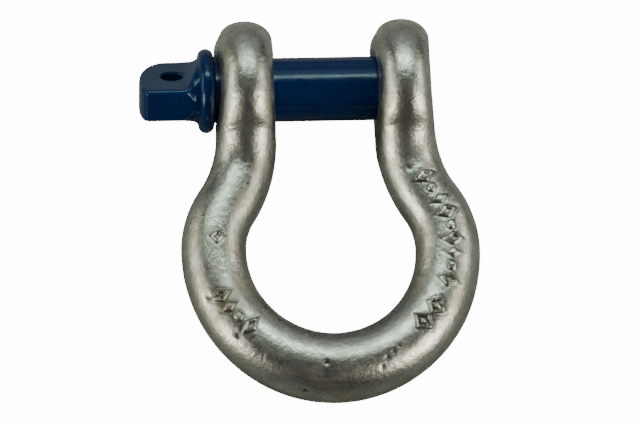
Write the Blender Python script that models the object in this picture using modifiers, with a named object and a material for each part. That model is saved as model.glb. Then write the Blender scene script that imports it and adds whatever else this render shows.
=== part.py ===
"""Screw-pin bow shackle of the 3/4 inch (4.75 tonne) class, lying on its side.

Run it with: blender --background --python part.py

Two forgings make the object. The bow is a round bar bent into a wide loop, with a flat-faced eye
at each end: a plain hole in one eye and a threaded hole in the other. The screw pin has a flat lug
with a hole for seizing wire, a collar, a plain shank and a threaded end.

The bow's own frame has X along the pin, with the lug at -X, Y from the crown of the bow towards the
eyes, and its origin on the pin's axis half way between the eyes. The eyes are larger than the bar,
so the shackle rests on both eyes and on its crown. The empty named resting_frame gives it that tilt
and puts the middle of its footprint at the world's origin.
"""

import math

import bmesh
import bpy
from mathutils import Matrix, Vector

MM = 0.001

# Driving sizes
PIN_RADIUS = 11.0 * MM
EYE_RADIUS = 23.8 * MM
EYE_HALF_THICKNESS = 10.4 * MM
EYE_DRAFT = math.radians(6.0)  # the forging draft of the eye's faces, from the middle of the bow
JAW_WIDTH = 33.0 * MM
BOW_DEPTH = 56.0 * MM  # from the pin's axis to the centre of the loop, before the stretch
BOW_STRETCH = 1.033  # of the bar's centreline away from the pin
LOOP_RADIUS = 39.8 * MM  # of the bar's centreline round the crown
LEG_BAR_RADIUS = 10.7 * MM
SIDE_BAR_RADIUS = 11.15 * MM
CROWN_BAR_RADIUS = 11.95 * MM

# The loop closes in towards the eyes on a tighter arc, then bends back on the shoulder's arc.
UPPER_LOOP_RADIUS = 27.5 * MM
SHOULDER_SLOPE = math.radians(35.2)
LEG_X = 27.6 * MM  # from the middle of the bow to the centreline of the leg
EYE_END_Y = -15.0 * MM  # where the eye's section starts to turn into the leg's
LEG_START_Y = -33.0 * MM

# Eyes
EYE_NECK_FILLET = 20.0 * MM
PLAIN_HOLE_RADIUS = PIN_RADIUS + 0.35 * MM
HOLE_CHAMFER = 0.6 * MM

# Screw thread. The two threads clear each other, because the pin slides straight out.
THREAD_PITCH = 2.5 * MM
THREAD_DEPTH = 1.3 * MM
PIN_THREAD_RADIUS = 10.2 * MM
EYE_THREAD_INNER_RADIUS = PIN_THREAD_RADIUS + 0.35 * MM
COUNTERBORE_DEPTH = 3.2 * MM

# Screw pin
COLLAR_RADIUS = 14.5 * MM
COLLAR_THICKNESS = 5.4 * MM
COLLAR_GAP = 0.4 * MM
TIP_INSET = 0.8 * MM
TIP_CHAMFER = 1.4 * MM
UNDERCUT_LENGTH = 2.0 * MM
NECK_RADIUS = 9.4 * MM
NECK_LENGTH = 6.5 * MM
NECK_FLARE_RADIUS = 11.8 * MM  # of the neck where it meets the collar
LUG_HALF_WIDTH = 13.0 * MM
LUG_HALF_THICKNESS = 5.8 * MM
LUG_LENGTH = 20.4 * MM  # from the collar's outer face to the end of the lug
LUG_FRONT_CURVE = 3.2 * MM  # length of the end's curve on the lug's front side
LUG_BACK_CURVE = 10.0 * MM
LUG_TIP_OFFSET = 4.0 * MM  # of the end's furthest point, towards the front side
LUG_EDGE_RADIUS = 1.4 * MM
WIRE_HOLE_RADIUS = 3.7 * MM
WIRE_HOLE_FROM_END = 11.4 * MM
LUG_ROLL = math.radians(-48.0)  # of the wire hole's axis about the pin, from square to the bow

# Mesh fineness
ROUND_SIDES = 32
QUARTER_SIDES = 8  # of the bar's section
THREAD_SIDES = 24

# Worked out from the sizes above
EYE_X = JAW_WIDTH / 2 + EYE_HALF_THICKNESS
EYE_OUTER_X = EYE_X + EYE_HALF_THICKNESS
JAW_X = JAW_WIDTH / 2
FLAT_RADIUS = EYE_RADIUS - EYE_HALF_THICKNESS
COLLAR_FACE_X = -EYE_OUTER_X - COLLAR_GAP
COLLAR_OUTER_X = COLLAR_FACE_X - COLLAR_THICKNESS
LUG_END_X = COLLAR_OUTER_X - LUG_LENGTH
TIP_X = EYE_OUTER_X - TIP_INSET
SHANK_END_X = JAW_X + COUNTERBORE_DEPTH - 0.8 * MM
CROWN_Y = -(BOW_DEPTH + LOOP_RADIUS) * BOW_STRETCH
REST_TILT = math.asin((EYE_RADIUS - CROWN_BAR_RADIUS) / -CROWN_Y)

GALVANISED = ((0.52, 0.53, 0.51), 0.45, 1.0)
BLUE_PAINT = ((0.005, 0.03, 0.12), 0.25, 0.0)


def clear_scene():
    for obj in list(bpy.data.objects):
        bpy.data.objects.remove(obj, do_unlink=True)


def make_collection(name):
    made = bpy.data.collections.new(name)
    bpy.context.scene.collection.children.link(made)
    return made


def make_material(name, look):
    colour, roughness, metallic = look
    made = bpy.data.materials.new(name)
    made.use_nodes = True
    shader = made.node_tree.nodes["Principled BSDF"]
    shader.inputs["Base Color"].default_value = (*colour, 1.0)
    shader.inputs["Roughness"].default_value = roughness
    shader.inputs["Metallic"].default_value = metallic
    return made


def mesh_object(name, mesh, collection):
    made = bpy.data.objects.new(name, mesh)
    collection.objects.link(made)
    return made


def make_helper(obj):
    """Marks a shape that cuts or joins another one, and isn't a part itself."""
    obj.hide_render = True
    obj.display_type = "WIRE"


def boolean(obj, other, operation):
    modifier = obj.modifiers.new(other.name, "BOOLEAN")
    modifier.operation = operation
    modifier.object = other
    modifier.solver = "EXACT"


def shade_round(mesh, degrees=35):
    mesh.shade_smooth()
    mesh.set_sharp_from_angle(angle=math.radians(degrees))


def skin_sections(name, sections):
    """A closed mesh through rings of the same number of points, with a flat face at each end."""
    form = bmesh.new()
    rings = [[form.verts.new(point) for point in section] for section in sections]
    count = len(rings[0])
    for first, second in zip(rings, rings[1:]):
        for i in range(count):
            j = (i + 1) % count
            form.faces.new((first[i], first[j], second[j], second[i]))
    form.faces.new(reversed(rings[0]))
    form.faces.new(rings[-1])
    bmesh.ops.recalc_face_normals(form, faces=form.faces)
    mesh = bpy.data.meshes.new(name)
    form.to_mesh(mesh)
    form.free()
    return mesh


def turned(name, profile, collection):
    """A solid turned about X. The profile runs from +X to -X, from the axis out and back to it."""
    mesh = bpy.data.meshes.new(name)
    edges = [(i, i + 1) for i in range(len(profile) - 1)]
    mesh.from_pydata([(x, radius, 0.0) for x, radius in profile], edges, [])
    made = mesh_object(name, mesh, collection)
    screw = made.modifiers.new("turn", "SCREW")
    screw.axis = "X"
    screw.steps = screw.render_steps = ROUND_SIDES
    screw.use_merge_vertices = True
    screw.merge_threshold = 0.00001
    return made


def evaluated_mesh(obj):
    graph = bpy.context.evaluated_depsgraph_get()
    return bpy.data.meshes.new_from_object(obj.evaluated_get(graph))


def helical_ridge(name, root_radius, crest_radius, start_x, turns, collection):
    """One start of a screw thread, as a closed ridge wound about X from start_x towards +X."""
    base, crest = 0.42 * THREAD_PITCH, 0.12 * THREAD_PITCH
    ring = [
        (start_x - base, root_radius, 0.0),
        (start_x - crest, crest_radius, 0.0),
        (start_x + crest, crest_radius, 0.0),
        (start_x + base, root_radius, 0.0),
    ]
    profile = bpy.data.meshes.new(name)
    profile.from_pydata(ring, [(0, 1), (1, 2), (2, 3), (3, 0)], [])
    wound = mesh_object(name, profile, collection)
    screw = wound.modifiers.new("wind", "SCREW")
    screw.axis = "X"
    screw.steps = screw.render_steps = THREAD_SIDES
    screw.screw_offset = THREAD_PITCH
    screw.iterations = turns
    screw.use_merge_vertices = False
    wound.data = evaluated_mesh(wound)
    wound.modifiers.clear()
    form = bmesh.new()
    form.from_mesh(wound.data)
    bmesh.ops.holes_fill(form, edges=form.edges)
    bmesh.ops.recalc_face_normals(form, faces=form.faces)
    form.to_mesh(wound.data)
    form.free()
    return wound


def smooth_step(value, low, high):
    share = min(1.0, max(0.0, (value - low) / (high - low)))
    return share * share * (3 - 2 * share)


def arc(centre, radius, start, end, count):
    """Points on an arc after its first one, with the direction in which it runs at each."""
    turn = 1.0 if end > start else -1.0
    for i in range(1, count + 1):
        angle = start + (end - start) * i / count
        point = centre + radius * Vector((math.cos(angle), math.sin(angle)))
        yield point, turn * Vector((-math.sin(angle), math.cos(angle)))


def shoulder_arc():
    """The centre and radius of the arc that brings the bar from the loop to the straight leg."""
    cosine = math.cos(SHOULDER_SLOPE)
    loop_side = LOOP_RADIUS - UPPER_LOOP_RADIUS + UPPER_LOOP_RADIUS * cosine
    radius = (loop_side - LEG_X) / (1 - cosine)
    rise = (UPPER_LOOP_RADIUS + radius) * math.sin(SHOULDER_SLOPE)
    return Vector((LEG_X + radius, -BOW_DEPTH + rise)), radius


def neck_depth(y):
    """Half depth of the eye, and below it of the fillet that takes its round edge to the bar."""
    fillet_z = LEG_BAR_RADIUS + EYE_NECK_FILLET
    fillet_y = -math.sqrt((EYE_RADIUS + EYE_NECK_FILLET) ** 2 - fillet_z**2)
    touch_y = fillet_y * EYE_RADIUS / (EYE_RADIUS + EYE_NECK_FILLET)
    if y > touch_y:
        return math.sqrt(EYE_RADIUS**2 - y**2)
    if y > fillet_y:
        return fillet_z - math.sqrt(EYE_NECK_FILLET**2 - (y - fillet_y) ** 2)
    return LEG_BAR_RADIUS


def eye_stations():
    """From the round rim at the top of the eye to the height of the pin's axis."""
    down = Vector((0.0, -1.0))
    for degrees in (80, 60, 40, 20):
        rim_angle = math.radians(degrees)
        y = FLAT_RADIUS + EYE_HALF_THICKNESS * math.sin(rim_angle)
        thickness = EYE_HALF_THICKNESS * math.cos(rim_angle)
        yield Vector((EYE_X, y)), down, thickness, neck_depth(y), EYE_DRAFT
    for share in (1.0, 0.75, 0.5, 0.25, 0.0):
        y = FLAT_RADIUS * share
        yield Vector((EYE_X, y)), down, EYE_HALF_THICKNESS, neck_depth(y), EYE_DRAFT


def leg_path():
    """The bar's centreline from the eye down to the widest place of the bow, with its direction."""
    centre, radius = shoulder_arc()
    straight = 5
    for i in range(1, straight + 1):
        yield Vector((LEG_X, centre.y * i / straight)), Vector((0.0, -1.0))
    yield from arc(centre, radius, math.pi, math.pi + SHOULDER_SLOPE, 9)
    upper_loop = Vector((LOOP_RADIUS - UPPER_LOOP_RADIUS, -BOW_DEPTH))
    yield from arc(upper_loop, UPPER_LOOP_RADIUS, SHOULDER_SLOPE, 0.0, 6)


def lengthened(path):
    """The path drawn out along the bow, which makes its round loop a little longer than wide."""
    for point, direction in path:
        place = Vector((point.x, point.y * BOW_STRETCH))
        yield place, Vector((direction.x, direction.y * BOW_STRETCH)).normalized()


def bow_stations():
    """From the top of the right eye to the crown: (centre, direction, half thickness, depth, draft)."""
    yield from eye_stations()
    for point, direction in lengthened(leg_path()):
        to_leg = smooth_step(-point.y, -EYE_END_Y, -LEG_START_Y)
        to_side = smooth_step(-point.y, -LEG_START_Y, BOW_DEPTH * BOW_STRETCH)
        thickness = EYE_HALF_THICKNESS + (LEG_BAR_RADIUS - EYE_HALF_THICKNESS) * to_leg
        thickness += (SIDE_BAR_RADIUS - LEG_BAR_RADIUS) * to_side
        point.x += (EYE_X - LEG_X) * (1 - smooth_step(-point.y, 0.0, -LEG_START_Y))
        yield point, direction, thickness, max(thickness, neck_depth(point.y)), EYE_DRAFT * (1 - to_leg)
    loop = Vector((0.0, -BOW_DEPTH))
    for point, direction in lengthened(arc(loop, LOOP_RADIUS, 0.0, -math.pi / 2, 14)):
        share = smooth_step(math.acos(min(1.0, point.x / LOOP_RADIUS)), 0.0, math.pi / 2)
        bar = SIDE_BAR_RADIUS + (CROWN_BAR_RADIUS - SIDE_BAR_RADIUS) * share
        yield point, direction, bar, bar, 0.0


def quarter_section(thickness, depth, draft):
    """A drafted side and the round top tangent to it: (out, rise) from the side up to the top."""
    top_radius = (thickness - depth * math.tan(draft)) / (1 / math.cos(draft) - math.tan(draft))
    top_radius = min(top_radius, depth)
    centre_rise = depth - top_radius
    corner = Vector((math.cos(draft), math.sin(draft))) * top_radius + Vector((0.0, centre_rise))
    side = Vector((thickness, 0.0))
    top_length = top_radius * (math.pi / 2 - draft)
    side_length = (corner - side).length
    side_share = 0.5 * side_length / (side_length + top_length)
    for i in range(QUARTER_SIDES):
        share = i / QUARTER_SIDES
        if share < side_share:
            yield side.lerp(corner, share / side_share)
        else:
            angle = draft + (math.pi / 2 - draft) * (share - side_share) / (1 - side_share)
            yield Vector((top_radius * math.cos(angle), centre_rise + top_radius * math.sin(angle)))
    yield Vector((0.0, depth))


def bow_section(station):
    """A ring round the bar, from its outer side over the top to the inner side and back below."""
    point, direction, *shape = station
    quarter = list(quarter_section(*shape))
    outline = [(p.x, p.y) for p in quarter[:-1]]
    outline += [(-p.x, p.y) for p in reversed(quarter[1:])]
    outline += [(-out, -rise) for out, rise in outline]
    across = Vector((-direction.y, direction.x, 0.0))
    centre = Vector((point.x, point.y, 0.0))
    return [centre + across * out + Vector((0.0, 0.0, rise)) for out, rise in outline]


def make_bow(collection, helpers):
    half = [bow_section(station) for station in bow_stations()]
    mirror = [[Vector((-p.x, p.y, p.z)) for p in ring] for ring in reversed(half[:-1])]
    bow = mesh_object("bow", skin_sections("bow", half + mirror), collection)
    boolean(bow, plain_hole_cutter(helpers), "DIFFERENCE")
    boolean(bow, threaded_hole_cutter(helpers), "DIFFERENCE")
    boolean(bow, thread_groove_cutter(helpers), "DIFFERENCE")
    shade_round(bow.data)
    return bow


def plain_hole_cutter(helpers):
    wide = PLAIN_HOLE_RADIUS + HOLE_CHAMFER
    past = 3 * MM
    inner, outer = -JAW_X, -EYE_OUTER_X
    profile = [
        (inner + past, 0.0),
        (inner + past, wide),
        (inner, wide),
        (inner - HOLE_CHAMFER, PLAIN_HOLE_RADIUS),
        (outer + HOLE_CHAMFER, PLAIN_HOLE_RADIUS),
        (outer, wide),
        (outer - past, wide),
        (outer - past, 0.0),
    ]
    cutter = turned("plain_hole_cutter", profile, helpers)
    make_helper(cutter)
    return cutter


def threaded_hole_cutter(helpers):
    past = 3 * MM
    seat = JAW_X + COUNTERBORE_DEPTH
    wide = EYE_THREAD_INNER_RADIUS + THREAD_DEPTH
    profile = [
        (EYE_OUTER_X + past, 0.0),
        (EYE_OUTER_X + past, wide),
        (EYE_OUTER_X, wide),
        (EYE_OUTER_X - THREAD_DEPTH, EYE_THREAD_INNER_RADIUS),
        (seat + HOLE_CHAMFER, EYE_THREAD_INNER_RADIUS),
        (seat, PLAIN_HOLE_RADIUS),
        (JAW_X + HOLE_CHAMFER, PLAIN_HOLE_RADIUS),
        (JAW_X, PLAIN_HOLE_RADIUS + HOLE_CHAMFER),
        (JAW_X - past, PLAIN_HOLE_RADIUS + HOLE_CHAMFER),
        (JAW_X - past, 0.0),
    ]
    cutter = turned("threaded_hole_cutter", profile, helpers)
    make_helper(cutter)
    return cutter


def thread_groove_cutter(helpers):
    start = JAW_X + COUNTERBORE_DEPTH
    root = EYE_THREAD_INNER_RADIUS - 0.5 * MM
    crest = EYE_THREAD_INNER_RADIUS + THREAD_DEPTH
    cutter = helical_ridge("thread_groove_cutter", root, crest, start, 8, helpers)
    make_helper(cutter)
    return cutter


def pin_profile():
    """The collar, shank, undercut and thread core, from the tip to the collar's outer face."""
    core = PIN_THREAD_RADIUS - THREAD_DEPTH
    edge = COLLAR_THICKNESS * 0.5
    profile = [
        (TIP_X, 0.0),
        (TIP_X, core - 0.6 * MM),
        (TIP_X - 0.6 * MM, core),
        (SHANK_END_X, core),
        (SHANK_END_X, PIN_RADIUS - 0.5 * MM),
        (SHANK_END_X - 0.5 * MM, PIN_RADIUS),
        (COLLAR_FACE_X + 0.3 * MM, PIN_RADIUS),
        (COLLAR_FACE_X, PIN_RADIUS + 0.3 * MM),
    ]
    rim = COLLAR_RADIUS - edge
    middle = COLLAR_FACE_X - edge
    for i in range(9):
        angle = math.radians(-10 + 200 * i / 8)
        x = middle + edge * math.cos(angle) if 0 < i < 8 else middle + math.copysign(edge, 4 - i)
        profile.append((x, rim + edge * max(0.0, math.sin(angle))))
    profile += [(COLLAR_OUTER_X, NECK_RADIUS), (COLLAR_OUTER_X, 0.0)]
    return profile


def lug_reach(from_end, curve, tip):
    """How far the lug reaches to one side of its middle line, where its end curves in to the tip."""
    short = 1 - min(1.0, from_end / curve)
    return tip + (LUG_HALF_WIDTH - tip) * math.sqrt(1 - short**2)


def lug_station(x):
    """Half width, sideways shift, half thickness and corner radius of the head at this place."""
    from_end = x - LUG_END_X
    front = lug_reach(from_end, LUG_FRONT_CURVE, LUG_TIP_OFFSET)
    back = lug_reach(from_end, LUG_BACK_CURVE, -LUG_TIP_OFFSET)
    width = (back + front) / 2
    shift = (back - front) / 2
    cut = max(0.0, LUG_EDGE_RADIUS - from_end)
    thickness = LUG_HALF_THICKNESS - LUG_EDGE_RADIUS + math.sqrt(LUG_EDGE_RADIUS**2 - cut**2)
    corner = min(LUG_EDGE_RADIUS, width, thickness)
    # Towards the collar the lug swells into a round, flared neck.
    from_collar = COLLAR_OUTER_X - x
    swell = 1 - smooth_step(from_collar, -1.5 * MM, NECK_LENGTH)
    width += (NECK_FLARE_RADIUS - width) * swell
    thickness += (NECK_FLARE_RADIUS - thickness) * swell**1.5
    corner += (min(width, thickness) - corner) * smooth_step(swell, 0.0, 0.75)
    return width, shift, thickness, corner


def lug_section(x):
    """A rounded rectangle across the pin, which becomes a circle at the collar."""
    width, shift, thickness, corner = lug_station(x)
    roll = Matrix.Rotation(LUG_ROLL, 3, "X")
    ring = []
    for i in range(ROUND_SIDES):
        angle = 2 * math.pi * (i + 0.5) / ROUND_SIDES
        side, rise = math.cos(angle), math.sin(angle)
        y = shift + math.copysign(width - corner, side) + corner * side
        z = math.copysign(thickness - corner, rise) + corner * rise
        ring.append(roll @ Vector((x, y, z)))
    return ring


def make_head_form(helpers):
    first, last = LUG_END_X + 0.1 * MM, COLLAR_OUTER_X + 1.5 * MM
    ends = [LUG_END_X + d * MM for d in (0.1, 0.35, 0.8, 1.4, 2.2, 3.2, 4.8, 7.0, 10.0)]
    places = [first] + ends[1:]
    rest = 12
    start = places[-1]
    places += [start + (last - start) * i / rest for i in range(1, rest + 1)]
    mesh = skin_sections("head_form", [lug_section(x) for x in places])
    form = mesh_object("head_form", mesh, helpers)
    make_helper(form)
    return form


def wire_hole_cutter(helpers):
    past = 2 * MM
    wide = WIRE_HOLE_RADIUS + HOLE_CHAMFER
    half = LUG_HALF_THICKNESS
    profile = [
        (half + past, 0.0),
        (half + past, wide),
        (half, wide),
        (half - HOLE_CHAMFER, WIRE_HOLE_RADIUS),
        (-half + HOLE_CHAMFER, WIRE_HOLE_RADIUS),
        (-half, wide),
        (-half - past, wide),
        (-half - past, 0.0),
    ]
    cutter = turned("wire_hole_cutter", profile, helpers)
    across_lug = Matrix.Rotation(LUG_ROLL, 4, "X") @ Matrix.Rotation(math.pi / 2, 4, "Y")
    place = Matrix.Translation((LUG_END_X + WIRE_HOLE_FROM_END, 0.0, 0.0))
    cutter.matrix_world = place @ across_lug
    make_helper(cutter)
    return cutter


def pin_thread_form(helpers):
    start = SHANK_END_X + UNDERCUT_LENGTH + 0.5 * THREAD_PITCH
    core = PIN_THREAD_RADIUS - THREAD_DEPTH - 0.4 * MM
    turns = int((TIP_X - TIP_CHAMFER - start) / THREAD_PITCH)
    ridge = helical_ridge("pin_thread_form", core, PIN_THREAD_RADIUS, start, turns, helpers)
    make_helper(ridge)
    return ridge


def make_pin(collection, helpers):
    pin = turned("screw_pin", pin_profile(), collection)
    boolean(pin, make_head_form(helpers), "UNION")
    boolean(pin, pin_thread_form(helpers), "UNION")
    boolean(pin, wire_hole_cutter(helpers), "DIFFERENCE")
    return pin


def stand_at_rest(parts):
    """Lays the shackle on its two eyes and its crown, with its footprint round the origin."""
    low_x, high_x = LUG_END_X, LOOP_RADIUS + SIDE_BAR_RADIUS
    high_y = EYE_RADIUS
    low_y = CROWN_Y * math.cos(REST_TILT) - CROWN_BAR_RADIUS
    frame = bpy.data.objects.new("resting_frame", None)
    bpy.context.scene.collection.objects.link(frame)
    frame.location = (-(low_x + high_x) / 2, -(low_y + high_y) / 2, EYE_RADIUS)
    frame.rotation_euler = (REST_TILT, 0.0, 0.0)
    for part in parts:
        part.parent = frame


def main():
    clear_scene()
    parts = make_collection("bow_shackle")
    helpers = make_collection("cutters")
    bow = make_bow(parts, helpers)
    bow.data.materials.append(make_material("galvanised_steel", GALVANISED))
    pin = make_pin(parts, helpers)
    pin.data.materials.append(make_material("blue_paint", BLUE_PAINT))
    stand_at_rest([bow, pin, *helpers.objects])


main()
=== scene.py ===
"""Looks of the bow shackle: a galvanised forged bow and a blue painted screw pin on a pale floor.

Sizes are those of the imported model. The shackle's own frame has X along the pin with the lug at -X,
Y from the crown of the bow towards the eyes, and its origin on the pin's axis half way between the
eyes. It is tilted about the pin so that the shackle lies on its eyes and its crown.
"""

import math

import bmesh
import bpy
import numpy as np
from mathutils import Euler, Matrix, Vector


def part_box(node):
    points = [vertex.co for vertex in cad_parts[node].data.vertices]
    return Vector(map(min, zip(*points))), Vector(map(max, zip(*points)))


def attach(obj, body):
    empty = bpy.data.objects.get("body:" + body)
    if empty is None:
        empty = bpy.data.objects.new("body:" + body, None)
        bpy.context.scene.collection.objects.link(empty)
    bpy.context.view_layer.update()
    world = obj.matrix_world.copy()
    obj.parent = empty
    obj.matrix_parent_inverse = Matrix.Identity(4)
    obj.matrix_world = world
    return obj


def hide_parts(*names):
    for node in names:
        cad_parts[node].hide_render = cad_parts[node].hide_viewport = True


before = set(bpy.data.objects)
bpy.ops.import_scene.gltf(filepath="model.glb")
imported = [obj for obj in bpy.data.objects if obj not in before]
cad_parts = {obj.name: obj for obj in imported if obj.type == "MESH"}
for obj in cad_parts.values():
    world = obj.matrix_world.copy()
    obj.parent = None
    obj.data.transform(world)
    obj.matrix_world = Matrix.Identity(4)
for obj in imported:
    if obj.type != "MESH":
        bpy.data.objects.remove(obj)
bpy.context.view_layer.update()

MM = 0.001

# Sizes of the bow
EYE_RADIUS = 23.8 * MM
EYE_HALF_THICKNESS = 10.4 * MM
EYE_DRAFT = math.radians(6.0)
JAW_WIDTH = 33.0 * MM
BOW_DEPTH = 56.0 * MM
LOOP_RADIUS = 39.8 * MM
BOW_STRETCH = 1.033
UPPER_LOOP_RADIUS = 27.5 * MM
SHOULDER_SLOPE = math.radians(35.2)
LEG_BAR_RADIUS = 10.7 * MM
SIDE_BAR_RADIUS = 11.15 * MM
CROWN_BAR_RADIUS = 11.95 * MM
LEG_X = 27.6 * MM
EYE_END_Y = -15.0 * MM
LEG_START_Y = -33.0 * MM
EYE_NECK_FILLET = 20.0 * MM

# Sizes of the pin and the holes
CLEARANCE = 0.35 * MM
PIN_RADIUS = 11.0 * MM
HOLE_RADIUS = PIN_RADIUS + CLEARANCE
THREAD_PITCH = 2.5 * MM
THREAD_DEPTH = 1.3 * MM
PIN_THREAD_RADIUS = 10.2 * MM
PIN_CORE_RADIUS = PIN_THREAD_RADIUS - THREAD_DEPTH
EYE_THREAD_INNER_RADIUS = PIN_THREAD_RADIUS + CLEARANCE
COUNTERBORE_DEPTH = 3.2 * MM
HOLE_CHAMFER = 0.7 * MM
TAPPED_HOLE_CHAMFER = 0.9 * MM
WIRE_HOLE_CHAMFER = 0.6 * MM
COLLAR_RADIUS = 14.5 * MM
COLLAR_THICKNESS = 5.4 * MM
COLLAR_GAP = 0.4 * MM
LUG_HALF_WIDTH = 13.0 * MM
LUG_HALF_THICKNESS = 5.8 * MM
LUG_LENGTH = 20.4 * MM
LUG_FRONT_CURVE = 3.2 * MM
LUG_BACK_CURVE = 10.0 * MM
LUG_TIP_OFFSET = 4.0 * MM
LUG_EDGE_RADIUS = 1.5 * MM
NECK_LENGTH = 6.5 * MM
NECK_FLARE_RADIUS = 11.8 * MM
WIRE_HOLE_RADIUS = 3.7 * MM
WIRE_HOLE_FROM_END = 11.4 * MM
LUG_ROLL = math.radians(-48.0)
LUG_OVERLAP = 1.5 * MM
END_GAP = 0.8 * MM
TIP_CHAMFER = 0.8 * MM
SHANK_CHAMFER = 0.5 * MM

# Raised marks on the bow: half the length, half the width and, round a frame, half the line's width.
# A halo is the shallow hollow round a mark, whose colour is darkened: painted shade, with some dirt.
FRAME = (1.7 * MM, 2.9 * MM, 0.4 * MM)
SMALL_FRAME = (1.7 * MM, 1.7 * MM, 0.3 * MM)
NEST_FRAME = (2.7 * MM, 3.3 * MM, 0.4 * MM)
LOZENGE = (1.4 * MM, 2.6 * MM)
NEST_LOZENGE = (1.0 * MM, 1.3 * MM)
DOME_RADIUS = 1.4 * MM
MARK_HEIGHT = 0.62 * MM
MARK_EDGE = 0.45 * MM
HALO_OUTSIDE = 0.35 * MM
HALO_WIDTH = 0.5 * MM
HALO_DEPTH = 0.12 * MM
# How deep a pit must be for its colour to be darkened fully: painted shade, with some dirt.
PIT_DEPTH_OF_FULL_DARKENING = 0.35 * MM

# Mesh fineness
BAR_STEP = 0.42 * MM
QUARTER_SIDES = 52
ROUND_SIDES = 160
THREAD_SIDES = 72
FILLET_STEPS = 6
COLLAR_RIM_STEPS = 28
ARC_STEPS = 240
STRAIGHT_STEPS = 160
FLAT_STEPS = 80
RIM_STEPS = 200

# A gap too small to see, and a radius in metres that stands for the axis
HAIR = 0.02 * MM
NEAR_AXIS = 1e-6

# Light and camera
FLOOR_GLOW = 14.0
ROOM_LIGHT = 0.065
ROOM_COLOUR = (1.0, 0.95, 1.0)
WALL_COLOUR = (1.0, 0.94, 1.0)
CREAM = (1.0, 0.995, 0.76)
COOL = (0.80, 1.0, 0.82)
CAMERA_DISTANCE = 1500 * MM
CAMERA_LENS = 249.0
CAMERA_TURN = (math.radians(24), -0.0728, -0.0541)

# Worked out from the sizes above
JAW_X = JAW_WIDTH / 2
EYE_X = JAW_X + EYE_HALF_THICKNESS
EYE_OUTER_X = EYE_X + EYE_HALF_THICKNESS
FLAT_RADIUS = EYE_RADIUS - EYE_HALF_THICKNESS
COLLAR_FACE_X = -EYE_OUTER_X - COLLAR_GAP
COLLAR_OUTER_X = COLLAR_FACE_X - COLLAR_THICKNESS
LUG_END_X = COLLAR_OUTER_X - LUG_LENGTH
SEAT_X = JAW_X + COUNTERBORE_DEPTH
TIP_X = EYE_OUTER_X - END_GAP
SHANK_END_X = SEAT_X - END_GAP
CROWN_Y = -(BOW_DEPTH + LOOP_RADIUS) * BOW_STRETCH
REST_TILT = math.asin((EYE_RADIUS - CROWN_BAR_RADIUS) / -CROWN_Y)


def shackle_matrix():
    """The place of the shackle's own frame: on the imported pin's axis, half way along the bow."""
    bow_low, bow_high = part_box("bow")
    pin_low, pin_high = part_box("screw_pin")
    pin_middle = (pin_low + pin_high) / 2
    origin = Vector(((bow_low.x + bow_high.x) / 2, pin_middle.y, pin_middle.z))
    return Matrix.Translation(origin) @ Matrix.Rotation(REST_TILT, 4, "X")


# ---------------------------------------------------------------- helpers


def smooth_step(value, low, high):
    share = np.clip((value - low) / (high - low), 0.0, 1.0)
    return share * share * (3 - 2 * share)


def lattice_noise(points, size, seed):
    """Smooth noise from -1 to 1 with features of this size, the same on every run."""
    count = 24
    table = np.random.default_rng(seed).uniform(-1, 1, (count, count, count))
    base = np.floor(points / size).astype(int)
    part = points / size - base
    part = part * part * (3 - 2 * part)
    total = np.zeros(len(points))
    for corner in np.ndindex(2, 2, 2):
        weight = np.prod(np.where(corner, part, 1 - part), axis=1)
        cell = (base + corner) % count
        total += weight * table[cell[:, 0], cell[:, 1], cell[:, 2]]
    return total


def grid_mesh(name, grid):
    """A closed mesh over rows of rings, with a face closing the first and the last ring."""
    rows, columns, _ = grid.shape
    row, column = np.meshgrid(np.arange(rows - 1), np.arange(columns), indexing="ij")
    after = (column + 1) % columns
    corners = (row * columns + column, row * columns + after,
               (row + 1) * columns + after, (row + 1) * columns + column)
    faces = np.stack(corners, axis=-1).reshape(-1, 4).tolist()
    faces.append(list(range(columns))[::-1])
    faces.append(list(range((rows - 1) * columns, rows * columns)))
    mesh = bpy.data.meshes.new(name)
    mesh.from_pydata(grid.reshape(-1, 3).tolist(), [], faces)
    return mesh


def outward(mesh):
    """Turns the faces outwards if the mesh is inside out."""
    form = bmesh.new()
    form.from_mesh(mesh)
    if form.calc_volume(signed=True) < 0:
        bmesh.ops.reverse_faces(form, faces=form.faces)
    form.to_mesh(mesh)
    form.free()


def linked(name, mesh):
    made = bpy.data.objects.new(name, mesh)
    bpy.context.scene.collection.objects.link(made)
    return made


def round_x(x, radius, angle):
    """Points at these places along X, at these distances and angles round it."""
    x = np.broadcast_to(x, angle.shape)
    return np.stack([x, radius * np.cos(angle), radius * np.sin(angle)], axis=1)


def turned(name, profile):
    """A closed solid turned about X. The profile leaves the axis and comes back to it."""
    angle = np.arange(ROUND_SIDES) * 2 * math.pi / ROUND_SIDES
    mesh = grid_mesh(name, np.array([round_x(x, radius, angle) for x, radius in profile]))
    outward(mesh)
    return linked(name, mesh)


def fillet(start, corner, end, radius):
    """Points that round the corner of a profile with this radius."""
    start, corner, end = Vector(start), Vector(corner), Vector(end)
    back, ahead = (start - corner).normalized(), (end - corner).normalized()
    half = back.angle(ahead) / 2
    centre = corner + (back + ahead).normalized() * radius / math.sin(half)
    first = corner + back * radius / math.tan(half) - centre
    last = corner + ahead * radius / math.tan(half) - centre
    shares = [i / FILLET_STEPS for i in range(FILLET_STEPS + 1)]
    return [tuple(centre + first.slerp(last, share) * radius) for share in shares]


def rounded_profile(corners, radii):
    """A profile whose inner corners are rounded by the radii listed, where they aren't 0."""
    points = [corners[0]]
    for before, corner, after, radius in zip(corners, corners[1:], corners[2:], radii):
        points += fillet(before, corner, after, radius) if radius else [corner]
    return points + [corners[-1]]


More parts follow.
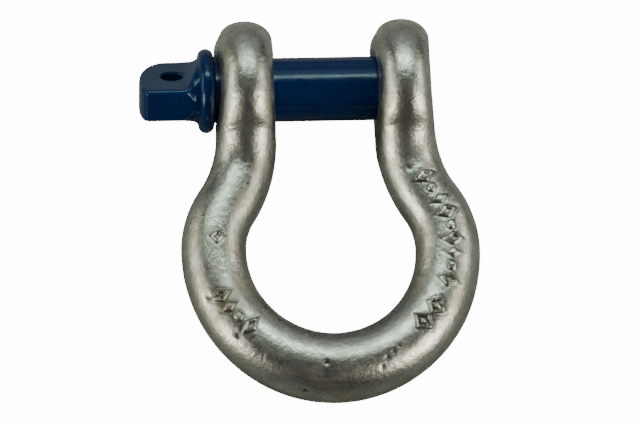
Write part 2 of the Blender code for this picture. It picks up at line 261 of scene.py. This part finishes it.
def combine(target, tool, operation):
    """Cuts the tool from the target or joins it on, and removes the tool."""
    modifier = target.modifiers.new("combine", "BOOLEAN")
    modifier.object = tool
    modifier.operation = operation
    modifier.solver = "MANIFOLD"
    graph = bpy.context.evaluated_depsgraph_get()
    made = bpy.data.meshes.new_from_object(target.evaluated_get(graph))
    target.modifiers.clear()
    target.data = made
    bpy.data.objects.remove(tool, do_unlink=True)


def thread_solid(name, root_radius, crest_radius, start_x, end_x):
    """One ridge wound about X like a screw thread, fading into its core at both ends."""
    turns = (end_x - start_x) / THREAD_PITCH
    steps = int(turns * THREAD_SIDES)
    share = np.linspace(0.0, 1.0, steps + 1)
    angle = share * turns * 2 * math.pi
    fade = smooth_step(share * turns, 0.0, 0.6) * smooth_step((1 - share) * turns, 0.0, 0.6)
    crest = root_radius + HAIR + (crest_radius - root_radius) * fade
    middle = start_x + share * turns * THREAD_PITCH
    base, land = 0.46 * THREAD_PITCH, 0.1 * THREAD_PITCH
    outline = ((-base, root_radius), (-land, crest), (land, crest), (base, root_radius))
    edges = [round_x(middle + offset, radius, angle) for offset, radius in outline]
    mesh = grid_mesh(name, np.stack(edges, axis=1))
    outward(mesh)
    return linked(name, mesh)


def finish_piece(piece, body, node, material):
    """Places a piece in the shared frame, smooths it, and gives it its body, node and slot."""
    piece.data.transform(SHACKLE)
    piece.data.shade_smooth()
    piece.data.set_sharp_from_angle(angle=math.radians(38))
    piece.data.materials.clear()
    piece.data.materials.append(material)
    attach(piece, body)
    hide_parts(node)


# ---------------------------------------------------------------- the bow


def arc_points(centre, radius, start, end):
    angle = np.linspace(start, end, ARC_STEPS)
    x, y = centre[0] + radius * np.cos(angle), centre[1] + radius * np.sin(angle)
    return np.stack([x, y], axis=1), angle


def upright(x, y):
    """Points at one x for each of these y."""
    return np.stack([np.full(len(y), x), y], axis=1)


def neck_depth(y):
    """Half depth of the eye, and below it of the fillet that takes its round edge to the bar."""
    fillet_z = LEG_BAR_RADIUS + EYE_NECK_FILLET
    fillet_y = -math.sqrt((EYE_RADIUS + EYE_NECK_FILLET) ** 2 - fillet_z**2)
    touch_y = fillet_y * EYE_RADIUS / (EYE_RADIUS + EYE_NECK_FILLET)
    eye = np.sqrt(np.maximum(0.0, EYE_RADIUS**2 - y**2))
    neck = fillet_z - np.sqrt(np.maximum(0.0, EYE_NECK_FILLET**2 - (y - fillet_y) ** 2))
    return np.where(y > touch_y, eye, np.where(y > fillet_y, neck, LEG_BAR_RADIUS))


def right_half():
    """Stations from the crown to the top of the right eye: x, y, outward x, outward y, thickness,
    depth and draft, close together along the bar's surface."""
    loop, loop_angle = arc_points((0.0, -BOW_DEPTH), LOOP_RADIUS, -math.pi / 2, 0.0)
    upper, upper_angle = arc_points(
        (LOOP_RADIUS - UPPER_LOOP_RADIUS, -BOW_DEPTH), UPPER_LOOP_RADIUS, 0.0, SHOULDER_SLOPE)
    cosine = math.cos(SHOULDER_SLOPE)
    loop_side = LOOP_RADIUS - UPPER_LOOP_RADIUS + UPPER_LOOP_RADIUS * cosine
    shoulder_radius = (loop_side - LEG_X) / (1 - cosine)
    shoulder_y = -BOW_DEPTH + (UPPER_LOOP_RADIUS + shoulder_radius) * math.sin(SHOULDER_SLOPE)
    shoulder, shoulder_angle = arc_points(
        (LEG_X + shoulder_radius, shoulder_y), shoulder_radius, math.pi + SHOULDER_SLOPE, math.pi)
    straight = upright(LEG_X, np.linspace(shoulder_y, 0.0, STRAIGHT_STEPS))
    flat = upright(LEG_X, np.linspace(0.0, FLAT_RADIUS, FLAT_STEPS))
    rim_angle = np.radians(np.linspace(0.0, 89.6, RIM_STEPS))
    rim = upright(LEG_X, FLAT_RADIUS + EYE_HALF_THICKNESS * np.sin(rim_angle))

    bar = np.concatenate([loop, upper, shoulder, straight]) * (1.0, BOW_STRETCH)
    point = np.concatenate([bar, flat, rim])
    level = np.zeros(STRAIGHT_STEPS + FLAT_STEPS + RIM_STEPS)
    facing = np.concatenate([loop_angle, upper_angle, shoulder_angle - math.pi, level])
    facing[: len(bar)] = np.arctan2(np.sin(facing), np.cos(facing) * BOW_STRETCH)[: len(bar)]
    y = point[:, 1]
    to_leg = smooth_step(-y, -EYE_END_Y, -LEG_START_Y)
    to_side = smooth_step(-y, -LEG_START_Y, BOW_DEPTH * BOW_STRETCH)
    to_crown = np.zeros(len(y))
    to_crown[: len(loop)] = smooth_step(-loop_angle, 0.0, math.pi / 2)
    thickness = (EYE_HALF_THICKNESS + (LEG_BAR_RADIUS - EYE_HALF_THICKNESS) * to_leg
                 + (SIDE_BAR_RADIUS - LEG_BAR_RADIUS) * to_side
                 + (CROWN_BAR_RADIUS - SIDE_BAR_RADIUS) * to_crown)
    thickness[-RIM_STEPS:] *= np.cos(rim_angle)
    in_leg = np.arange(len(y)) >= len(loop)
    to_eye = 1 - smooth_step(-y, 0.0, -LEG_START_Y)
    point[:, 0] += np.where(in_leg, (EYE_X - LEG_X) * to_eye, 0.0)
    depth = np.where(in_leg, neck_depth(y), thickness)
    depth = np.where(y < 0, np.maximum(depth, thickness), depth)
    draft = EYE_DRAFT * (1 - to_leg)
    columns = [point[:, 0], y, np.cos(facing), np.sin(facing), thickness, depth, draft]
    table = np.stack(columns, axis=1)
    moved = np.hypot(np.hypot(*np.diff(point, axis=0).T), np.diff(thickness))
    along = np.concatenate([[0.0], np.cumsum(moved)])
    even = np.linspace(0.0, along[-1], int(along[-1] / BAR_STEP))
    return even, np.stack([np.interp(even, along, column) for column in table.T], axis=1)


def quarter_sections(thickness, depth, draft):
    """Drafted sides and the round tops tangent to them: (out, rise) of each station's points."""
    tangent = np.tan(draft)
    top_radius = (thickness - depth * tangent) / (1 / np.cos(draft) - tangent)
    top_radius = np.minimum(top_radius, depth)[:, None]
    draft, thickness, depth = draft[:, None], thickness[:, None], depth[:, None]
    centre = depth - top_radius
    corner_out, corner_rise = top_radius * np.cos(draft), centre + top_radius * np.sin(draft)
    side_length = np.hypot(corner_out - thickness, corner_rise)
    side_share = 0.5 * side_length / (side_length + top_radius * (math.pi / 2 - draft))
    share = np.linspace(0.0, 1.0, QUARTER_SIDES + 1)[None, :]
    on_side = np.clip(share / np.maximum(side_share, 1e-9), 0.0, 1.0)
    past_side = np.clip((share - side_share) / (1 - side_share), 0.0, 1.0)
    angle = draft + (math.pi / 2 - draft) * past_side
    on_top = share >= side_share
    side_out = thickness + (corner_out - thickness) * on_side
    out = np.where(on_top, top_radius * np.cos(angle), side_out)
    rise = np.where(on_top, centre + top_radius * np.sin(angle), corner_rise * on_side)
    return out, rise


def bow_surface():
    """Rings along the whole bar, from the left eye through the crown to the right eye.

    Returns the grid of points, and for each point its place along the bar from the crown, positive
    to the right, and its place round the bar from the top, positive to the outside."""
    along, right = right_half()
    mirrored = right[:0:-1] * np.array([-1, 1, -1, 1, 1, 1, 1])
    stations = np.concatenate([mirrored, right])
    place = np.concatenate([-along[:0:-1], along])
    x, y, out_x, out_y, thickness, depth, draft = stations.T
    out, rise = quarter_sections(thickness, depth, draft)
    top = np.concatenate([out[:, :-1], -out[:, :0:-1]], axis=1)
    lift = np.concatenate([rise[:, :-1], rise[:, :0:-1]], axis=1)
    out, rise = np.concatenate([top, -top], axis=1), np.concatenate([lift, -lift], axis=1)
    ring_x, ring_y = x[:, None] + out_x[:, None] * out, y[:, None] + out_y[:, None] * out
    grid = np.stack([ring_x, ring_y, rise], axis=-1)
    girth = np.arctan2(out, rise) * np.minimum(thickness, depth)[:, None]
    return grid, np.broadcast_to(place[:, None], out.shape), girth


def grid_normals(grid):
    """Outward unit normals of a grid of rings."""
    along = np.gradient(grid, axis=0)
    round_bar = np.roll(grid, -1, axis=1) - np.roll(grid, 1, axis=1)
    normal = np.cross(round_bar, along)
    normal /= np.maximum(np.linalg.norm(normal, axis=2, keepdims=True), 1e-15)
    middle = grid.mean(axis=1, keepdims=True)
    if ((grid - middle) * normal).sum() < 0:
        normal = -normal
    return normal


def raised(distance):
    """1 inside a mark, falling softly to 0 outside its edge."""
    return 1 - smooth_step(distance, -MARK_EDGE, MARK_EDGE)


def lozenge(along, across, half_length, half_width):
    """The distance outside a lozenge."""
    reach = np.abs(along) / half_length + np.abs(across) / half_width - 1
    return reach * half_length * half_width / math.hypot(half_length, half_width)


def lozenge_frame(along, across, half_length, half_width, half_line):
    """The distance outside the line round a lozenge."""
    return np.abs(lozenge(along, across, half_length, half_width)) - half_line


def mark_shape(kind, along, across):
    """The distance outside one of the plain shapes: none is a letter, a digit or a sign."""
    if kind == "frame":
        return lozenge_frame(along, across, *FRAME)
    if kind == "lozenge":
        return lozenge(along, across, *LOZENGE)
    if kind == "small":
        return lozenge_frame(along, across, *SMALL_FRAME)
    if kind == "nest":
        inner = lozenge(along, across, *NEST_LOZENGE)
        return np.minimum(lozenge_frame(along, across, *NEST_FRAME), inner)
    return np.hypot(along, across) - DOME_RADIUS


def marks_on_bow():
    """Each raised forged mark: its place along the bar and across its top, in mm, and its kind."""
    row = ("frame", "dome", "lozenge", "frame", "dome", "frame", "lozenge", "dome", "frame")
    return [(88.0 - 4.8 * i, 0.9, kind) for i, kind in enumerate(row)] + [
        (32.5, 0.2, "nest"),
        (39.5, 0.8, "nest"),
        (-32.5, 0.4, "frame"),
        (-37.3, 1.4, "dome"),
        (-41.6, 2.2, "lozenge"),
        (-46.2, 2.8, "frame"),
        (-66.5, -0.5, "small"),
    ]


def mark_distance(along, across):
    """The distance outside the nearest of the raised forged marks."""
    distance = np.full(along.shape, 1.0)
    for place, side, kind in marks_on_bow():
        shape = mark_shape(kind, along - place * MM, across - side * MM)
        distance = np.minimum(distance, shape)
    return distance


def pit_depth(along, across):
    """How deep the small pits and nicks in the zinc are at each point."""
    # Place along the bar, place across its top, radius and depth, in mm
    pits = (
        (-4.2, 1.4, 0.9, 0.5),
        (-9.0, 12.5, 0.7, 0.35),
        (15.5, 3.0, 0.8, 0.3),
        (18.0, 2.2, 0.7, 0.3),
        (20.5, 1.5, 0.6, 0.25),
        (13.0, 5.5, 0.7, 0.25),
        (-33.0, 6.0, 1.0, 0.35),
        (-47.5, 7.0, 0.9, 0.35),
        (92.5, -3.0, 0.9, 0.35),
        (-88.0, -3.2, 0.8, 0.25),
        (-29.0, 3.0, 0.6, 0.3),
    )
    total = np.zeros(along.shape)
    for place, side, radius, depth in pits:
        distance = np.hypot(along - place * MM, across - side * MM)
        total += depth * MM * np.exp(-((distance / (radius * MM)) ** 2))
    return total


def bow_relief(grid, along, across):
    """How far each point of the bow moves outwards, and how much its colour is darkened, from 0 to 1:
    painted shade in the hollow round each mark and in the pits, with some dirt.
    """
    points = grid.reshape(-1, 3)
    shape = along.shape
    swell = 0.10 * lattice_noise(points, 21 * MM, 3) + 0.02 * lattice_noise(points, 8 * MM, 4)
    grain = 0.03 * lattice_noise(points, 2.6 * MM, 5)
    relief = (swell + grain).reshape(shape) * MM - 0.08 * MM
    on_top = smooth_step(grid[:, :, 2], 0.0, 3 * MM)
    outside = mark_distance(along, across)
    marks = raised(outside) * on_top
    runs = 1 + 0.35 * lattice_noise(points, 3.1 * MM, 6).reshape(shape)
    pits = pit_depth(along, across) * on_top
    halo = np.exp(-(((outside - HALO_OUTSIDE) / HALO_WIDTH) ** 2)) * on_top
    relief += MARK_HEIGHT * marks * runs - pits - HALO_DEPTH * halo
    # Darkening in the hollow round each mark and in the pits: painted shade, with some dirt.
    dirt_and_shade = np.clip(0.8 * halo * runs + pits / PIT_DEPTH_OF_FULL_DARKENING, 0.0, 1.0)
    return relief, dirt_and_shade


def hole_cutter(name, inner_x, outer_x, inner_radius, chamfer):
    """A turned cutter from the jaw side to the outer side of an eye, chamfered at each face."""
    way = math.copysign(1.0, outer_x - inner_x)
    past = 4 * MM * way
    step = chamfer * way
    flare_radius = inner_radius + chamfer + 3.3 * MM
    edge_radius = 0.4 * MM
    corners = [
        (inner_x - past, flare_radius),
        (inner_x + step, inner_radius),
        (outer_x - step, inner_radius),
        (outer_x + past, flare_radius),
    ]
    profile = rounded_profile(corners, (edge_radius, edge_radius))
    return turned(name, [(profile[0][0], NEAR_AXIS), *profile, (profile[-1][0], NEAR_AXIS)])


def within_box(grid, node):
    """Keeps points of the shackle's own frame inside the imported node's box."""
    turn, shift = np.array(SHACKLE.to_3x3()), np.array(SHACKLE.translation)
    low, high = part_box(node)
    placed = np.clip(grid @ turn.T + shift, np.array(low) + HAIR, np.array(high) - HAIR)
    return (placed - shift) @ turn


def make_bow(material):
    grid, along, across = bow_surface()
    relief, dirt_and_shade = bow_relief(grid, along, across)
    grid = grid + grid_normals(grid) * relief[:, :, None]
    grid = within_box(grid, "bow")
    mesh = grid_mesh("bow_forging", grid)
    outward(mesh)
    # The darkening in the hollows and pits, painted shade with some dirt, goes to the material.
    for name, values in (("dirt_and_shade", dirt_and_shade), ("along", along), ("across", across)):
        layer = mesh.attributes.new(name, "FLOAT", "POINT")
        layer.data.foreach_set("value", values.astype(np.float32).ravel())
    bow = linked("bow_forging", mesh)
    holes = (
        ("plain_cut", -JAW_X, -EYE_OUTER_X, HOLE_RADIUS, HOLE_CHAMFER),
        ("mouth_cut", JAW_X, SEAT_X, HOLE_RADIUS, HOLE_CHAMFER),
        ("tap_cut", SEAT_X, EYE_OUTER_X, EYE_THREAD_INNER_RADIUS, TAPPED_HOLE_CHAMFER),
    )
    for hole in holes:
        combine(bow, hole_cutter(*hole), "DIFFERENCE")
    root, crest = EYE_THREAD_INNER_RADIUS - 0.4 * MM, EYE_THREAD_INNER_RADIUS + THREAD_DEPTH
    groove = thread_solid("groove_cut", root, crest, SEAT_X, EYE_OUTER_X + THREAD_PITCH)
    combine(bow, groove, "DIFFERENCE")
    finish_piece(bow, "bow", "bow", material)


# ---------------------------------------------------------------- the pin


def shank_profile():
    """From the tip over the thread's core, the shank and the collar, to inside the lug."""
    corners = [
        (TIP_X, 0.3 * MM),
        (TIP_X, PIN_CORE_RADIUS - TIP_CHAMFER),
        (TIP_X - TIP_CHAMFER, PIN_CORE_RADIUS),
        (SHANK_END_X, PIN_CORE_RADIUS),
        (SHANK_END_X, PIN_RADIUS - SHANK_CHAMFER),
        (SHANK_END_X - SHANK_CHAMFER, PIN_RADIUS),
        (COLLAR_FACE_X, PIN_RADIUS),
        (COLLAR_FACE_X, COLLAR_RADIUS - COLLAR_THICKNESS / 2),
    ]
    radii = [radius * MM for radius in (0.3, 0.3, 0.3, 0.2, 0.3, 0.3)]
    profile = rounded_profile(corners, radii)
    edge = COLLAR_THICKNESS / 2
    for angle in np.linspace(0.0, math.pi, COLLAR_RIM_STEPS)[1:]:
        rim = COLLAR_RADIUS - edge + edge * math.sin(angle)
        profile.append((COLLAR_FACE_X - edge + edge * math.cos(angle), rim))
    return profile + [(COLLAR_OUTER_X, 6 * MM), (COLLAR_OUTER_X, 0.3 * MM)]


def lug_reach(from_end, curve, tip):
    """How far the lug reaches to one side of its middle line, curving in to the tip at its end."""
    short = 1 - min(1.0, from_end / curve)
    return tip + (LUG_HALF_WIDTH - tip) * math.sqrt(1 - short**2)


def lug_station(x):
    """Half width, sideways shift, half thickness and corner radius of the head at this place."""
    from_end = x - LUG_END_X
    front = lug_reach(from_end, LUG_FRONT_CURVE, LUG_TIP_OFFSET)
    back = lug_reach(from_end, LUG_BACK_CURVE, -LUG_TIP_OFFSET)
    width = (back + front) / 2
    shift = (back - front) / 2
    cut = max(0.0, LUG_EDGE_RADIUS - from_end)
    thickness = LUG_HALF_THICKNESS - LUG_EDGE_RADIUS + math.sqrt(LUG_EDGE_RADIUS**2 - cut**2)
    corner = min(LUG_EDGE_RADIUS, width, thickness)
    swell = 1 - float(smooth_step(COLLAR_OUTER_X - x, -LUG_OVERLAP, NECK_LENGTH))
    width += (NECK_FLARE_RADIUS - width) * swell
    thickness += (NECK_FLARE_RADIUS - thickness) * swell**1.5
    corner += (min(width, thickness) - corner) * float(smooth_step(swell, 0.0, 0.75))
    return width, shift, thickness, corner


def lug_ring(x):
    """A rounded rectangle across the pin, which becomes a circle at the collar."""
    width, shift, thickness, corner = lug_station(x)
    sides = 24
    quarter = np.linspace(0.0, math.pi / 2, sides)
    edge = np.linspace(0.0, 1.0, 14)[1:-1]
    side_y = np.full(len(edge), width)
    side_z = (thickness - corner) * (2 * edge - 1)
    arc_y = width - corner + corner * np.cos(quarter)
    arc_z = thickness - corner + corner * np.sin(quarter)
    top_y = (width - corner) * (1 - 2 * edge)
    top_z = np.full(len(edge), thickness)
    half_y = np.concatenate([side_y, arc_y, top_y, -arc_y[::-1]])
    half_z = np.concatenate([side_z, arc_z, top_z, arc_z[::-1]])
    y, z = shift + np.concatenate([half_y, -half_y]), np.concatenate([half_z, -half_z])
    cosine, sine = math.cos(LUG_ROLL), math.sin(LUG_ROLL)
    return np.stack([np.full(len(y), x), y * cosine - z * sine, y * sine + z * cosine], axis=1)


def make_lug():
    """The lug and its neck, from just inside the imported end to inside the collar."""
    first, last = LUG_END_X + 0.12 * MM, COLLAR_OUTER_X + LUG_OVERLAP
    share = np.linspace(0.0, 1.0, 120)
    places = first + (last - first) * share**1.6
    mesh = grid_mesh("lug", np.array([lug_ring(x) for x in places]))
    outward(mesh)
    return linked("lug", mesh)


def wire_hole_cutter():
    half = LUG_HALF_THICKNESS
    cutter = hole_cutter("wire_cut", half, -half, WIRE_HOLE_RADIUS, WIRE_HOLE_CHAMFER)
    across_lug = Matrix.Rotation(LUG_ROLL, 4, "X") @ Matrix.Rotation(math.pi / 2, 4, "Y")
    cutter.data.transform(Matrix.Translation((LUG_END_X + WIRE_HOLE_FROM_END, 0, 0)) @ across_lug)
    return cutter


def make_pin(material):
    pin = turned("painted_pin", shank_profile())
    combine(pin, make_lug(), "UNION")
    root = PIN_CORE_RADIUS - 0.3 * MM
    start, end = SHANK_END_X + 2.0 * MM + 0.5 * THREAD_PITCH, TIP_X - 1.2 * MM
    combine(pin, thread_solid("thread", root, PIN_THREAD_RADIUS, start, end), "UNION")
    combine(pin, wire_hole_cutter(), "DIFFERENCE")
    finish_piece(pin, "pin", "screw_pin", material)


# ---------------------------------------------------------------- materials


def map_range(tree, value, low, high, to_low, to_high):
    """Takes a value from one range to another, and keeps it within it."""
    node = tree.nodes.new("ShaderNodeMapRange")
    numbers = {"From Min": low, "From Max": high, "To Min": to_low, "To Max": to_high}
    for key, number in numbers.items():
        node.inputs[key].default_value = number
    tree.links.new(value, node.inputs["Value"])
    return node.outputs["Result"]


class Nodes:
    """A short way to add and join shader nodes."""

    def __init__(self, name):
        self.material = bpy.data.materials.new(name)
        self.material.use_nodes = True
        self.tree = self.material.node_tree
        self.shader = self.tree.nodes["Principled BSDF"]
        self.place = self.add("ShaderNodeTexCoord").outputs["Object"]

    def add(self, kind, **settings):
        node = self.tree.nodes.new(kind)
        for key, value in settings.items():
            setattr(node, key, value)
        return node

    def join(self, source, target):
        self.tree.links.new(source, target)

    def put(self, value, socket):
        if isinstance(value, bpy.types.NodeSocket):
            self.join(value, socket)
        else:
            socket.default_value = value

    def attribute(self, name):
        return self.add("ShaderNodeAttribute", attribute_name=name).outputs["Fac"]

    def noise(self, scale, detail, roughness, distortion=0.0, place=None):
        """Noise over the object's own coordinates, or over the ones given."""
        node = self.add("ShaderNodeTexNoise")
        node.inputs["Scale"].default_value = scale
        node.inputs["Detail"].default_value = detail
        node.inputs["Roughness"].default_value = roughness
        node.inputs["Distortion"].default_value = distortion
        self.join(self.place if place is None else place, node.inputs["Vector"])
        return node.outputs["Fac"]

    def drawn_along_bar(self, share):
        """Coordinates on the bar of the bow, with its length taken as this share of itself."""
        node = self.add("ShaderNodeCombineXYZ")
        self.join(self.maths("MULTIPLY", self.attribute("along"), share), node.inputs["X"])
        self.join(self.attribute("across"), node.inputs["Y"])
        return node.outputs["Vector"]

    def ramp(self, value, stops):
        node = self.add("ShaderNodeValToRGB")
        while len(node.color_ramp.elements) < len(stops):
            node.color_ramp.elements.new(0.5)
        for element, (place, colour) in zip(node.color_ramp.elements, stops):
            element.position = place
            element.color = (*colour, 1.0)
        self.join(value, node.inputs["Fac"])
        return node.outputs["Color"]

    def span(self, value, low, high, to_low=0.0, to_high=1.0):
        return map_range(self.tree, value, low, high, to_low, to_high)

    def blend(self, share, first, second):
        node = self.add("ShaderNodeMix", data_type="RGBA")
        self.put(share, node.inputs[0])
        self.put(first, node.inputs[6])
        self.put(second, node.inputs[7])
        return node.outputs[2]

    def maths(self, operation, first, second):
        node = self.add("ShaderNodeMath", operation=operation)
        self.put(first, node.inputs[0])
        self.put(second, node.inputs[1])
        return node.outputs[0]

    def bump(self, height, distance, strength, normal=None):
        node = self.add("ShaderNodeBump")
        node.inputs["Distance"].default_value = distance
        node.inputs["Strength"].default_value = strength
        self.join(height, node.inputs["Height"])
        if normal is not None:
            self.join(normal, node.inputs["Normal"])
        return node.outputs["Normal"]


def galvanised_steel():
    """Hot-dip zinc on a forging: cloudy grey with darker patches and specks, brown stains, streaks
    along the bar, and near black painted shade, with some dirt, in the hollows round the marks and in
    the pits."""
    n = Nodes("galvanised_steel")
    clouds = n.noise(70, 4, 0.6, 0.4)
    patches = n.noise(260, 4, 0.6)
    specks = n.noise(1500, 3, 0.6)
    streaks = n.noise(260, 4, 0.6, place=n.drawn_along_bar(0.22))
    greys = [(0.3, (0.44, 0.44, 0.435)), (0.5, (0.56, 0.565, 0.555)), (0.72, (0.68, 0.69, 0.67))]
    grey = n.ramp(clouds, greys)
    mottled = n.blend(n.span(patches, 0.38, 0.66, 0.0, 0.7), grey, (0.33, 0.32, 0.29, 1.0))
    mottled = n.blend(n.span(specks, 0.45, 0.62, 0.0, 0.4), mottled, (0.30, 0.29, 0.28, 1.0))
    stain = n.span(n.noise(48, 5, 0.65, 0.6), 0.53, 0.68, 0.0, 0.7)
    stained = n.blend(stain, mottled, (0.30, 0.26, 0.21, 1.0))
    # Near black in the hollows round the marks and in the pits: painted shade, with some dirt.
    dirt_and_shade = n.maths("MULTIPLY", n.attribute("dirt_and_shade"), 0.85)
    dirtied_and_shaded = n.blend(dirt_and_shade, stained, (0.05, 0.045, 0.035, 1.0))
    n.join(dirtied_and_shaded, n.shader.inputs["Base Color"])
    n.shader.inputs["Metallic"].default_value = 1.0
    rough_patches, rough_streaks = (
        n.span(patches, 0.3, 0.7, 0.26, 0.37), n.span(streaks, 0.3, 0.7, -0.06, 0.08))
    sheen = n.maths("ADD", rough_patches, rough_streaks)
    n.join(n.maths("ADD", sheen, n.maths("MULTIPLY", stain, 0.2)), n.shader.inputs["Roughness"])
    waves = n.bump(n.noise(190, 3, 0.5, 0.3), 0.0004, 0.25)
    drawn = n.bump(streaks, 0.0003, 0.3, waves)
    pebbles = n.bump(n.noise(650, 3, 0.6), 0.0003, 0.5, drawn)
    n.join(n.bump(specks, 0.0001, 0.6, pebbles), n.shader.inputs["Normal"])
    return n.material


def blue_paint():
    """Thick glossy dark blue paint, slightly uneven, and rubbed to steel on the thread."""
    n = Nodes("blue_paint")
    blues = [(0.35, (0.0, 0.0095, 0.060)), (0.65, (0.0, 0.014, 0.082))]
    tone = n.ramp(n.noise(90, 4, 0.6), blues)
    split = n.add("ShaderNodeSeparateXYZ")
    n.join(n.place, split.inputs["Vector"])
    thread = n.span(split.outputs["X"], THREAD_MASK_X, THREAD_MASK_X + 1.5 * MM)
    rubbed = n.maths("MULTIPLY", thread, n.span(n.noise(500, 4, 0.7), 0.4, 0.6, 0.35, 1.0))
    n.join(n.blend(rubbed, tone, (0.34, 0.33, 0.31, 1.0)), n.shader.inputs["Base Color"])
    n.join(rubbed, n.shader.inputs["Metallic"])
    gloss = n.span(n.noise(320, 3, 0.6), 0.3, 0.7, 0.16, 0.26)
    n.join(n.maths("ADD", gloss, n.maths("MULTIPLY", rubbed, 0.15)), n.shader.inputs["Roughness"])
    n.shader.inputs["Specular IOR Level"].default_value = 0.32
    n.shader.inputs["Specular Tint"].default_value = (0.6, 0.85, 1.0, 1.0)
    n.shader.inputs["Coat Weight"].default_value = 0.08
    n.shader.inputs["Coat Roughness"].default_value = 0.08
    runs = n.bump(n.noise(150, 2, 0.5), 0.0005, 0.25)
    n.join(n.bump(n.noise(700, 2, 0.5), 0.0001, 0.3, runs), n.shader.inputs["Normal"])
    return n.material


# ---------------------------------------------------------------- stage, lights and camera


def to_camera_only(tree, shown, hidden):
    """Joins one shader for the camera's own rays and another for every other ray."""
    mix = tree.nodes.new("ShaderNodeMixShader")
    path = tree.nodes.new("ShaderNodeLightPath")
    tree.links.new(path.outputs["Is Camera Ray"], mix.inputs[0])
    tree.links.new(hidden, mix.inputs[1])
    tree.links.new(shown, mix.inputs[2])
    return mix.outputs[0]


def make_floor():
    """A floor that is pale to the camera, and dim in what the metal reflects."""
    bpy.ops.mesh.primitive_plane_add(size=6.0, location=(0, 0, -0.0002))
    floor = bpy.context.object
    floor.name = "floor"
    material = bpy.data.materials.new("pale_floor")
    material.use_nodes = True
    tree = material.node_tree
    matt = tree.nodes["Principled BSDF"]
    matt.inputs["Base Color"].default_value = (0.9, 0.9, 0.9, 1.0)
    matt.inputs["Roughness"].default_value = 0.9
    dim = tree.nodes.new("ShaderNodeBsdfDiffuse")
    split = tree.nodes.new("ShaderNodeSeparateXYZ")
    tree.links.new(tree.nodes.new("ShaderNodeTexCoord").outputs["Object"], split.inputs["Vector"])
    # What the metal reflects and the light the floor bounces are painted darker towards the camera's
    # side and paler away from it: painted shade.
    fade = map_range(tree, split.outputs["Y"], -0.25, 0.1, 0.06, 0.34)
    tree.links.new(fade, dim.inputs["Color"])
    glow = tree.nodes.new("ShaderNodeEmission")
    glow.inputs["Strength"].default_value = FLOOR_GLOW
    both = tree.nodes.new("ShaderNodeAddShader")
    tree.links.new(matt.outputs[0], both.inputs[0])
    tree.links.new(glow.outputs[0], both.inputs[1])
    surface = to_camera_only(tree, both.outputs[0], dim.outputs[0])
    tree.links.new(surface, tree.nodes["Material Output"].inputs["Surface"])
    floor.data.materials.append(material)


def make_world():
    world = bpy.data.worlds.new("studio")
    bpy.context.scene.world = world
    world.use_nodes = True
    tree = world.node_tree
    room = tree.nodes["Background"]
    room.inputs["Color"].default_value = (*ROOM_COLOUR, 1.0)
    room.inputs["Strength"].default_value = ROOM_LIGHT
    backdrop = tree.nodes.new("ShaderNodeBackground")
    backdrop.inputs["Strength"].default_value = FLOOR_GLOW
    surface = to_camera_only(tree, backdrop.outputs[0], room.outputs[0])
    tree.links.new(surface, tree.nodes["World Output"].inputs["Surface"])


def softbox(name, from_view, heading, distance, size, radiance, colour):
    """A rectangular light aimed at the shackle: its angle from the camera's line of sight, and its
    heading round it from the right of the picture towards its top, both in degrees."""
    light = bpy.data.lights.new(name, "AREA")
    light.shape = "RECTANGLE"
    light.size, light.size_y = size
    light.energy = radiance * size[0] * size[1] * math.pi
    light.color = colour
    lamp = linked(name, light)
    tip, turn = math.radians(from_view), math.radians(heading)
    toward = Vector((math.sin(tip) * math.cos(turn), math.sin(tip) * math.sin(turn), math.cos(tip)))
    offset = VIEW @ toward
    across = VIEW @ Vector((-math.sin(turn), math.cos(turn), 0.0))
    up = offset.cross(across)
    lamp.matrix_world = Matrix((across, up, offset)).transposed().to_4x4()
    lamp.location = LIGHT_AIM + offset * distance


def make_lights():
    softbox("left_box", 76, 164, 0.9, (0.5, 0.4), 2.6, CREAM)
    softbox("right_box", 71, 22, 0.9, (0.45, 0.32), 3.6, CREAM)
    softbox("left_front", 62, 198, 0.9, (0.34, 0.42), 10.0, CREAM)
    softbox("right_front", 58, -18, 0.9, (0.34, 0.42), 10.0, CREAM)
    softbox("back_box", 62, 90, 0.95, (0.9, 0.45), 1.0, COOL)
    softbox("back_strip", 48, 90, 0.9, (0.9, 0.13), 11.0, COOL)
    softbox("back_wall", 94, 90, 1.2, (2.0, 0.6), 0.3, WALL_COLOUR)


def make_camera():
    data = bpy.data.cameras.new("camera")
    data.lens = CAMERA_LENS
    data.clip_start = 0.01
    camera = linked("camera", data)
    camera.rotation_euler = CAMERA_TURN
    camera.location = CAMERA_AIM + VIEW @ Vector((0.0, 0.0, CAMERA_DISTANCE))
    bpy.context.scene.camera = camera


SHACKLE = shackle_matrix()
LIGHT_AIM = SHACKLE @ Vector((0.0, -0.03, 0.0))
CAMERA_AIM = SHACKLE.translation + Vector((-3.45 * MM, -45.59 * MM, -1.8 * MM))
THREAD_MASK_X = (SHACKLE @ Vector((SHANK_END_X + 0.5 * MM, 0, 0))).x
VIEW = Euler(CAMERA_TURN).to_matrix()

make_bow(galvanised_steel())
make_pin(blue_paint())
make_floor()
make_world()
make_lights()
make_camera()
